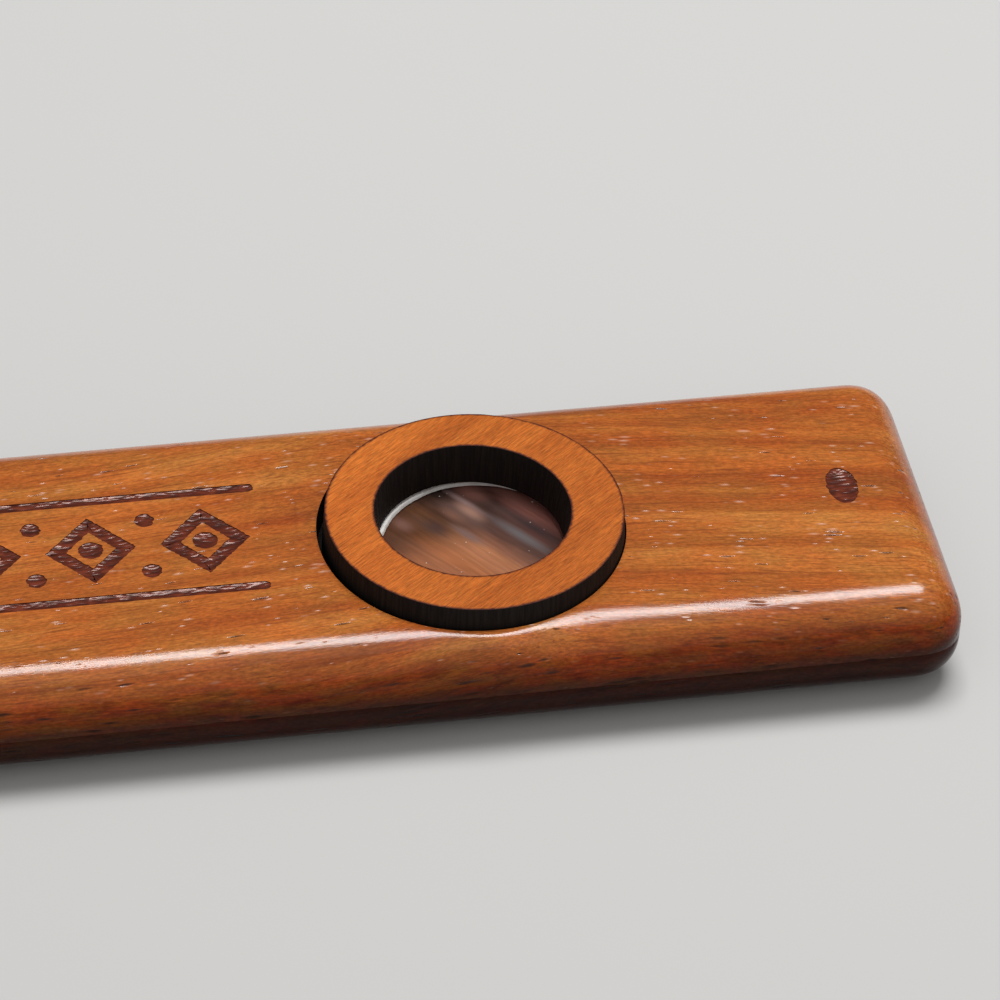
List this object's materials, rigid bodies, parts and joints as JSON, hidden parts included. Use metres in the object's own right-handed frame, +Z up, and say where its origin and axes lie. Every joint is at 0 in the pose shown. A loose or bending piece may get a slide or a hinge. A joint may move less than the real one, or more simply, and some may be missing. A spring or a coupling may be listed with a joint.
{
  "type": "wooden kazoo",
  "caption": "Flat lacquered wooden kazoo: a hollow round-edged bar glued from boards, with a buzzing membrane clamped in a round seat under a lift-off wooden ring.",
  "frame": {"origin": "middle of the flat underside, which rests on the surface", "axes": "+X along the bar towards the mouth end, the end nearer the membrane; +Y across the bar; +Z up through the membrane"},
  "size_m": [0.125, 0.0322, 0.012],
  "materials": {
    "upper_wood": "clear gloss lacquer over warm brown wood",
    "lower_wood": "clear gloss lacquer over darker brown wood",
    "ring_wood": "satin lacquer, laser-charred edges",
    "hoop_plastic": "matt white",
    "film_plastic": "thin clear brown film, glossy"
  },
  "bodies": {
    "body": {"upper_board": "upper_wood", "lower_board": "lower_wood"},
    "ring": {"retaining_ring": "ring_wood"},
    "membrane": {"membrane_hoop": "hoop_plastic", "membrane_film": "film_plastic"}
  },
  "joints": [
    {"name": "ring_pull", "type": "slide", "parent": "body", "child": "ring", "axis": [0, 0, 1], "range_m": [0, 0.016]},
    {"name": "membrane_lift", "type": "slide", "parent": "body", "child": "membrane", "axis": [0, 0, 1], "range_m": [0, 0.008]}
  ],
  "couplings": [
    {"joint": "membrane_lift", "follows": "ring_pull", "ratio": 0.5}
  ]
}
